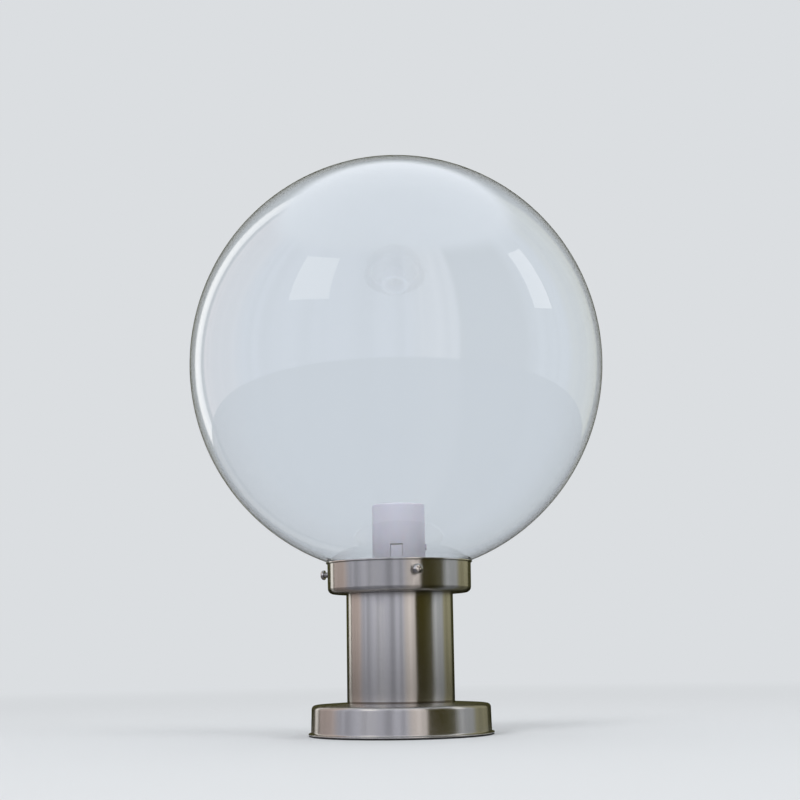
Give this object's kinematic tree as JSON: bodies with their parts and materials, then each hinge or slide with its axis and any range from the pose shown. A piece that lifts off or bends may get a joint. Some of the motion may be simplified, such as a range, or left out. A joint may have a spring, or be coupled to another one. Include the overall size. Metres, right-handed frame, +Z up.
{
  "type": "garden globe light",
  "caption": "Outdoor pedestal light: a clear globe on a brushed metal gallery cup, short round column and shallow round base, with a white screw lampholder.",
  "frame": {"origin": "middle of the base's underside, on the ground", "axes": "+Z up along the column; the viewer of the picture stands on -Y, and +X is to the viewer's right"},
  "size_m": [0.3, 0.3, 0.4175],
  "materials": {
    "brushed_stainless": "satin, brushed round",
    "zinc_plated_steel": "bright zinc",
    "stainless_screw": "polished",
    "clear_glass": "clear, fire-polished",
    "white_thermoplastic": "moulded, satin",
    "cream_thermoset": "moulded",
    "natural_polyamide": "moulded, translucent white",
    "black_foam": "closed cell foam",
    "white_silicone": "moulded silicone",
    "brass": "bright",
    "spring_bronze": "rolled strip",
    "brown_sleeve": "extruded insulation",
    "blue_sleeve": "extruded insulation",
    "green_sleeve": "extruded insulation, green and yellow"
  },
  "bodies": {
    "stand": {"base_gasket": "black_foam", "base_cup": "brushed_stainless", "mounting_strap": "zinc_plated_steel", "hollow_rod": "zinc_plated_steel", "column_tube": "brushed_stainless", "gallery_washer": "zinc_plated_steel", "gallery_cup": "brushed_stainless", "gallery_press_nuts": "stainless_screw", "globe_seal": "white_silicone", "terminal_block": "natural_polyamide", "terminal_tubes": "brass", "terminal_block_screws": "zinc_plated_steel", "terminal_block_fixing_screw": "zinc_plated_steel", "earth_screw": "zinc_plated_steel", "earth_washer": "zinc_plated_steel", "earth_tag": "brass", "lampholder_dome": "white_thermoplastic", "lampholder_skirt": "white_thermoplastic", "contact_carrier": "cream_thermoset", "lampholder_terminal_screws": "zinc_plated_steel", "centre_contact": "spring_bronze", "side_contact": "spring_bronze", "dome_grub_screw": "zinc_plated_steel", "neutral_lead": "blue_sleeve", "live_lead": "brown_sleeve", "earth_lead": "green_sleeve", "gallery_tooth_washer": "zinc_plated_steel", "gallery_nut": "zinc_plated_steel", "strap_tooth_washer": "zinc_plated_steel", "strap_upper_nut": "zinc_plated_steel", "strap_lower_nut": "zinc_plated_steel", "lower_centring_cup": "zinc_plated_steel", "upper_centring_cup": "zinc_plated_steel"},
    "globe": {"globe": "clear_glass", "globe_upper": "clear_glass", "globe_lower": "clear_glass", "globe_shoulder": "clear_glass", "globe_neck": "clear_glass"},
    "screw_front": {"gallery_screw_front": "stainless_screw"},
    "screw_rear": {"gallery_screw_rear": "stainless_screw"},
    "screw_left": {"gallery_screw_left": "stainless_screw"}
  },
  "joints": [
    {"name": "globe_lift", "type": "slide", "parent": "stand", "child": "globe", "axis": [0, 0, 1], "range_m": [0, 0.07]},
    {"name": "screw_front_travel", "type": "slide", "parent": "stand", "child": "screw_front", "axis": [0.225, -0.9744, 0], "range_m": [0, 0.004]},
    {"name": "screw_rear_travel", "type": "slide", "parent": "stand", "child": "screw_rear", "axis": [0.7314, 0.682, 0], "range_m": [0, 0.004]},
    {"name": "screw_left_travel", "type": "slide", "parent": "stand", "child": "screw_left", "axis": [-0.9563, 0.2924, 0], "range_m": [0, 0.004]}
  ]
}
